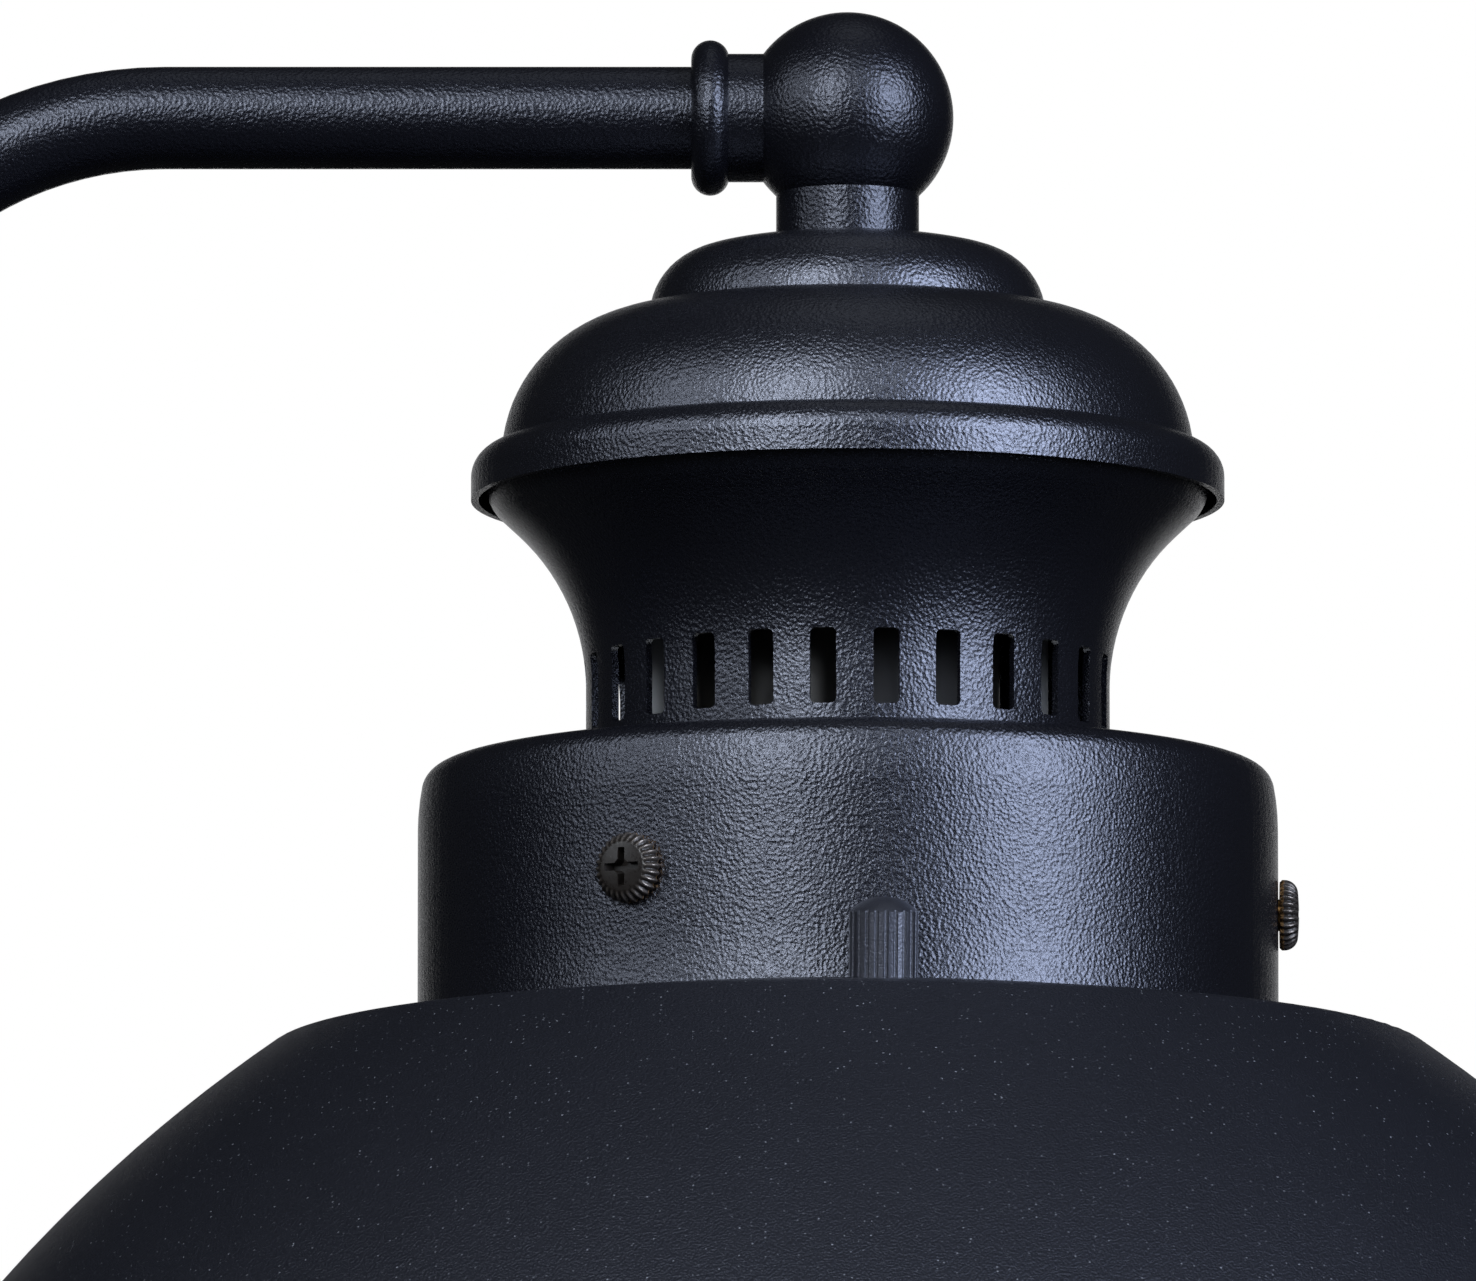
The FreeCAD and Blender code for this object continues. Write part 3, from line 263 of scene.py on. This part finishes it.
def powder_coat(
        name, dark=COAT_DARK, light=COAT_LIGHT, grain=COAT_GRAIN, depth=COAT_DEPTH,
        roughness=COAT_ROUGHNESS, specular=COAT_SPECULAR, index=COAT_INDEX, foot=False, glint_flecks=False):
    """Pebbled powder coat: rounded grains with a finer grain on them and a slight drift in colour."""
    material, tree, shader = new_material(name)
    point = object_point(tree)
    pebble = cells(tree, point, grain, "SMOOTH_F1")
    pebble.inputs["Smoothness"].default_value = PEBBLE_SMOOTHNESS
    fine = noise(tree, point, FINE_WAVES / grain, detail=2.0, roughness=0.6)
    drift = noise(tree, point, DRIFT_WAVES, detail=3.0, roughness=0.55)
    height = calculate(tree, "MULTIPLY_ADD", fine, FINE_SHARE, pebble.outputs["Distance"])
    relief = bump(tree, height, depth)
    if foot:
        tree.links.new(flared_foot(tree, point), relief.inputs["Normal"])
    colour = mix_colours(tree, drift, dark, light)
    if glint_flecks:
        colour = paint_glint_flecks(tree, point, colour)
    set_inputs(tree, shader, {
        "Base Color": colour,
        "Roughness": ramp(tree, fine, *NOISE_RANGE, *roughness),
        "Normal": relief.outputs["Normal"],
        "Specular IOR Level": specular,
        "IOR": index,
        "Specular Tint": COOL_LIGHT_COAT_TINT,
    })
    return material


def surface(name, dark, light, roughness, waves, depth, metallic):
    """Metal, plastic, rubber or lacquer that drifts in colour and gloss, with a fine relief."""
    material, tree, shader = new_material(name)
    wear = noise(tree, object_point(tree), waves, detail=4.0, roughness=0.6)
    set_inputs(tree, shader, {
        "Base Color": mix_colours(tree, wear, dark, light),
        "Roughness": ramp(tree, wear, *NOISE_RANGE, *roughness),
        "Normal": bump(tree, wear, depth, strength=0.4).outputs["Normal"],
        "Metallic": metallic,
    })
    return material


def metal(name, dark, light, roughness):
    """Bare or plated metal with fine wear."""
    return surface(name, dark, light, roughness, waves=400.0, depth=0.00002, metallic=1.0)


def plain(name, dark, light, roughness, waves, depth=0.00002):
    """Plastic, rubber or lacquer."""
    return surface(name, dark, light, roughness, waves, depth, metallic=0.0)


def worn_plating(name):
    """Brown-black plating on brass, rubbed on the teeth, and worn off the shank and the knurl's back."""
    material, tree, shader = new_material(name)
    point = object_point(tree)
    wear = noise(tree, point, WEAR_WAVES, detail=3.0, roughness=0.6)
    from_axis = add(tree, "ShaderNodeVectorMath", operation="MULTIPLY_ADD")
    for socket, value in zip(from_axis.inputs, (point, (1.0, 1.0, 0.0), (-LAMP_X, 0.0, 0.0))):
        feed(tree, socket, value)
    radius = add(tree, "ShaderNodeVectorMath", operation="LENGTH")
    tree.links.new(from_axis.outputs["Vector"], radius.inputs[0])
    ragged = calculate(tree, "MULTIPLY_ADD", wear, WEAR_DEPTH, radius.outputs["Value"])
    bare = ramp(tree, ragged, WEAR_EDGE, WEAR_EDGE - WEAR_DEPTH / 3, 0.0, 1.0)
    tooth = add(tree, "ShaderNodeAttribute", attribute_name="tooth").outputs["Fac"]
    plated = mix_colours(tree, wear, PLATING_DARK, PLATING_LIGHT)
    rubbed = mix_colours(tree, tooth, plated, RUBBED_COLOUR)
    set_inputs(tree, shader, {
        "Base Color": mix_colours(tree, bare, rubbed, BARE_BRASS),
        "Metallic": calculate(tree, "MAXIMUM", bare, tooth),
        "Roughness": ramp(tree, wear, *NOISE_RANGE, 0.24, 0.38),
        "Normal": bump(tree, wear, depth=0.00002, strength=0.5).outputs["Normal"],
        "Specular IOR Level": 0.3,
    })
    return material


def clear_glass(name):
    """Pressed glass with a slow wave in its surface."""
    material, tree, shader = new_material(name)
    wave = noise(tree, object_point(tree), scale=35.0, detail=2.0, roughness=0.5)
    set_inputs(tree, shader, {
        "Base Color": (0.95, 0.98, 0.97),
        "Roughness": ramp(tree, wave, *NOISE_RANGE, 0.01, 0.04),
        "Normal": bump(tree, wave, depth=0.0006, strength=0.25).outputs["Normal"],
        "Transmission Weight": 1.0,
        "IOR": 1.5,
    })
    return material


def screw_profile(tip, top):
    """Half section of a thumbscrew: (radius, height, normal, share of the tooth depth) up its axis."""
    face_edge = HEAD_RADIUS - HEAD_ROUND * (1 - math.sin(FACE_SLOPE))
    face_level = top - face_edge * math.tan(FACE_SLOPE / 2)
    side_top = face_level - HEAD_ROUND * math.cos(FACE_SLOPE)
    back = side_top - HEAD_SIDE
    outward = (1.0, 0.0)
    section = [
        (SHANK_RADIUS, tip, outward, 0.0),
        (SHANK_RADIUS, back, outward, 0.0),
        (HEAD_RADIUS - HEAD_CHAMFER, back, outward, CHAMFER_TOOTH),
        (HEAD_RADIUS, back + HEAD_CHAMFER, outward, 1.0),
    ]
    fade_start, fade_end = TOOTH_FADE
    for step in range(ARC_STEPS + 1):
        angle = (math.pi / 2 - FACE_SLOPE) * step / ARC_STEPS
        share = min(1.0, max(0.0, (fade_end - angle) / (fade_end - fade_start)))
        normal = (math.cos(angle), math.sin(angle))
        radius = HEAD_RADIUS - HEAD_ROUND * (1 - normal[0])
        section.append((radius, side_top + HEAD_ROUND * normal[1], normal, share))
    face_curve = face_edge / math.sin(FACE_SLOPE)
    for step in range(1, FACE_STEPS):
        radius = face_edge * (1 - step / FACE_STEPS)
        drop = face_curve - math.sqrt(face_curve ** 2 - radius ** 2)
        section.append((radius, top - drop, outward, 0.0))
    return section


def knurled_body(place, tip, top):
    """Closed mesh of a thumbscrew before its recess; the tooth layer is 1 on the crests of the teeth."""
    mesh = bmesh.new()
    tooth = mesh.verts.layers.float.new("tooth")
    steps = TEETH * STEPS_PER_TOOTH
    rings = []
    for radius, height, normal, share in screw_profile(tip, top):
        ring = []
        for step in range(steps):
            angle = 2 * math.pi * step / steps
            groove = 0.5 - 0.5 * math.cos(TEETH * angle)
            sink = TOOTH_DEPTH * share * groove
            reach = radius - sink * normal[0]
            spot = place(reach * math.cos(angle), reach * math.sin(angle), height - sink * normal[1])
            corner = mesh.verts.new(spot)
            corner[tooth] = share * (1 - groove) ** 2
            ring.append(corner)
        rings.append(ring)
    for first, second in zip(rings, rings[1:]):
        for step in range(steps):
            after = (step + 1) % steps
            mesh.faces.new((first[step], first[after], second[after], second[step]))
    for ring, height in ((rings[0], tip), (rings[-1], top)):
        pole = mesh.verts.new(place(0.0, 0.0, height))
        for step in range(steps):
            mesh.faces.new((ring[step], ring[(step + 1) % steps], pole))
    return mesh


def cross_cutter(place, top):
    """Tapered cross that cuts the driver recess of a thumbscrew."""
    bevel = RECESS_SIDE + RECESS_WEB
    quarter = [
        (RECESS_ARM, RECESS_SIDE),
        (bevel, RECESS_SIDE),
        (RECESS_SIDE, bevel),
        (RECESS_SIDE, RECESS_ARM),
    ]
    corners = []
    for _ in range(4):
        corners += quarter
        quarter = [(-y, x) for x, y in quarter]
    mesh = bmesh.new()
    caps = []
    for height, scale in ((top - RECESS_DEPTH, RECESS_TAPER), (top + RECESS_OVERSHOOT, 1.0)):
        caps.append([mesh.verts.new(place(x * scale, y * scale, height)) for x, y in corners])
    for index in range(len(corners)):
        after = (index + 1) % len(corners)
        mesh.faces.new((caps[0][index], caps[0][after], caps[1][after], caps[1][index]))
    for cap in caps:
        mesh.faces.new(cap)
    return mesh


def make_object(name, mesh):
    """Object of a bmesh, with its faces turned outwards."""
    bmesh.ops.recalc_face_normals(mesh, faces=mesh.faces)
    data = bpy.data.meshes.new(name)
    mesh.to_mesh(data)
    mesh.free()
    made = bpy.data.objects.new(name, data)
    scene.collection.objects.link(made)
    return made


def thumbscrew(index, material):
    """Knurled thumbscrew with a cross recess, in the place of its CAD solid."""
    # The first screw points along +X, so its box gives the ends of all of them
    low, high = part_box("thumbscrew_1")
    tip = low[0] - LAMP_X
    top = high[0] - LAMP_X
    centre = Vector((LAMP_X, 0.0, (low[2] + high[2]) / 2))
    turn = 2 * math.pi * (index - 1) / SCREW_COUNT
    out = Vector((math.cos(turn), math.sin(turn), 0.0))
    up = Vector((0.0, 0.0, 1.0))
    side = up.cross(out)

    def place(across, rise, height):
        return centre + side * across + up * rise + out * height

    made = make_object("knurled_screw_%d" % index, knurled_body(place, tip, top))
    cutter = make_object("cross_cutter", cross_cutter(place, top))
    cut = made.modifiers.new("recess", "BOOLEAN")
    cut.operation = "DIFFERENCE"
    cut.solver = "EXACT"
    cut.object = cutter
    shaped = made.evaluated_get(bpy.context.evaluated_depsgraph_get())
    mesh = bpy.data.meshes.new_from_object(shaped)
    made.modifiers.clear()
    made.data = mesh
    bpy.data.objects.remove(cutter)
    mesh.shade_smooth()
    mesh.set_sharp_from_angle(angle=SHARP_ANGLE)
    mesh.materials.clear()
    mesh.materials.append(material)
    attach(made, "screw_%d" % index)
    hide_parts("thumbscrew_%d" % index)


def lay_floor():
    """Floor that is pale to the camera and through glass, and a plain diffuse surface to other rays."""
    mesh = bpy.data.meshes.new("floor")
    outline = ((-1, -1), (1, -1), (1, 1), (-1, 1))
    corners = [(x * FLOOR_REACH, y * FLOOR_REACH, FLOOR_LEVEL) for x, y in outline]
    mesh.from_pydata(corners, [], [(0, 1, 2, 3)])
    floor = bpy.data.objects.new("floor", mesh)
    material, tree, shader = new_material("floor")
    set_inputs(tree, shader, {"Base Color": FLOOR_COLOUR, "Roughness": 0.8})
    path = add(tree, "ShaderNodeLightPath")
    seen = calculate(tree, "MAXIMUM", path.outputs["Is Camera Ray"], path.outputs["Is Transmission Ray"])
    pale = add(tree, "ShaderNodeEmission")
    set_inputs(tree, pale, {"Color": FLOOR_SEEN, "Strength": 1.0})
    both = mix_shaders(tree, seen, shader.outputs["BSDF"], pale.outputs["Emission"])
    tree.links.new(both, tree.nodes["Material Output"].inputs["Surface"])
    mesh.materials.append(material)
    scene.collection.objects.link(floor)


def fill_air():
    """White air to the camera, through glass and, towards the backdrop, in reflections; dim elsewhere."""
    world = bpy.data.worlds.new("studio")
    scene.world = world
    world.use_nodes = True
    tree = world.node_tree
    tree.nodes.clear()
    output = add(tree, "ShaderNodeOutputWorld")
    dim = add(tree, "ShaderNodeBackground")
    set_inputs(tree, dim, {"Color": DIM_COLOUR, "Strength": DIM_STRENGTH})
    white = add(tree, "ShaderNodeBackground")
    set_inputs(tree, white, {"Color": WHITE, "Strength": 1.0})
    path = add(tree, "ShaderNodeLightPath")
    direction = add(tree, "ShaderNodeTexCoord")
    split = add(tree, "ShaderNodeSeparateXYZ")
    tree.links.new(direction.outputs["Generated"], split.inputs["Vector"])
    behind = ramp(tree, split.outputs["Y"], BACKDROP_EDGE, 1.0, 0.0, 1.0)
    mirrored = calculate(tree, "MULTIPLY", path.outputs["Is Glossy Ray"], behind)
    straight = calculate(
        tree, "MAXIMUM", path.outputs["Is Camera Ray"], path.outputs["Is Transmission Ray"])
    seen = calculate(tree, "MAXIMUM", straight, mirrored)
    air = mix_shaders(tree, seen, dim.outputs["Background"], white.outputs["Background"])
    tree.links.new(air, output.inputs["Surface"])


def softbox(name, azimuth, elevation, width, height, power, colour=COOL_WHITE, distance=LAMP_DISTANCE):
    """Area light aimed at the lamp; azimuth 0 is the camera's side, positive to the right, in degrees."""
    turn = math.radians(azimuth)
    rise = math.radians(elevation)
    out = Vector((math.sin(turn) * math.cos(rise), -math.cos(turn) * math.cos(rise), math.sin(rise)))
    data = bpy.data.lights.new(name, "AREA")
    data.shape = "RECTANGLE"
    data.size = width
    data.size_y = height
    data.energy = power
    data.color = colour
    data.spread = LAMP_BEAM
    made = bpy.data.objects.new(name, data)
    made.location = LAMP_AIM + out * distance
    made.rotation_euler = (-out).to_track_quat("-Z", "Y").to_euler()
    made.visible_camera = False
    scene.collection.objects.link(made)


place_camera()

# Finishes
coat = powder_coat("textured_coat")
collar_coat = powder_coat("collar_coat", foot=True)
# Brighter copy of the coat for the cap: its stronger reflections are painted light on the brim and dome
brightened_cap_coat = powder_coat("brightened_cap_coat", index=1.58)
# Darker copy of the coat for the arm and ball: its weaker reflections are painted shade
darkened_arm_coat = powder_coat("darkened_arm_coat", specular=0.66)
# The shade's coat carries painted glints: pale specks in its colour
shade_coat = powder_coat(
    "shade_coat", dark=(0.0050, 0.0053, 0.0078), light=(0.0072, 0.0077, 0.0112), grain=0.00034,
    depth=0.00011, roughness=(0.38, 0.50), specular=0.55, glint_flecks=True)
nut_coat = powder_coat(
    "nut_coat", dark=(0.007, 0.0075, 0.0105), light=(0.011, 0.0115, 0.0155), grain=0.0003,
    depth=0.00003, roughness=(0.34, 0.44), index=1.66)
plating = worn_plating("worn_plating")
zinc = metal("zinc_steel", (0.24, 0.245, 0.255), (0.36, 0.365, 0.375), (0.45, 0.62))
brass = metal("brass", (0.62, 0.44, 0.18), (0.78, 0.58, 0.26), (0.2, 0.35))
phenolic = plain(
    "black_phenolic", (0.012, 0.011, 0.010), (0.022, 0.020, 0.018), (0.35, 0.5), waves=300.0, depth=0.00003)
rubber = plain(
    "gasket_rubber", (0.02, 0.02, 0.02), (0.035, 0.035, 0.035), (0.7, 0.9), waves=1500.0, depth=0.0001)
wire_black = plain("wire_black", (0.015, 0.015, 0.015), (0.03, 0.03, 0.03), (0.4, 0.55), waves=600.0)
wire_white = plain("wire_white", (0.72, 0.72, 0.70), (0.80, 0.80, 0.78), (0.4, 0.55), waves=600.0)
green = plain("green_steel", (0.03, 0.20, 0.07), (0.05, 0.28, 0.10), (0.3, 0.45), waves=500.0)
glass = clear_glass("clear_glass")

FINISH = {
    "arm_tube": darkened_arm_coat,
    "ball_elbow": darkened_arm_coat,
    "vent_cap": brightened_cap_coat,
    "vent_chimney": coat,
    "fitter_collar": collar_coat,
    "wall_canopy": coat,
    "arm_base_ring": coat,
    "shade": shade_coat,
    "shade_cap_nuts": nut_coat,
    "canopy_cap_nuts": nut_coat,
    "stem_tube": zinc,
    "yoke": zinc,
    "yoke_washer": zinc,
    "yoke_nut": zinc,
    "mounting_bar": zinc,
    "canopy_studs": zinc,
    "shade_studs": zinc,
    "arm_lock_nut": zinc,
    "lampholder_body": phenolic,
    "screw_shell": brass,
    "centre_contact": brass,
    "glass_jar": glass,
    "canopy_gasket": rubber,
    "line_wire": wire_black,
    "neutral_wire": wire_white,
    "ground_screw": green,
}
for name, material in FINISH.items():
    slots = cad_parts[name].data.materials
    slots.clear()
    slots.append(material)

for index in range(1, SCREW_COUNT + 1):
    thumbscrew(index, plating)

lay_floor()
fill_air()
softbox("key_left", azimuth=-21, elevation=24, width=0.62, height=2.0, power=6.1)
softbox("fill_left", azimuth=-64, elevation=24, width=0.6, height=1.6, power=1.5)
softbox("key_right", azimuth=50, elevation=17, width=1.28, height=2.0, power=12.0, colour=(0.74, 0.82, 1.0))
softbox("front", azimuth=8, elevation=40, width=1.3, height=0.8, power=0.7, colour=(0.86, 0.92, 1.0))
softbox(
    "top", azimuth=150, elevation=82, width=1.2, height=1.2, power=0.18, colour=(0.9, 0.95, 1.0),
    distance=2.2)
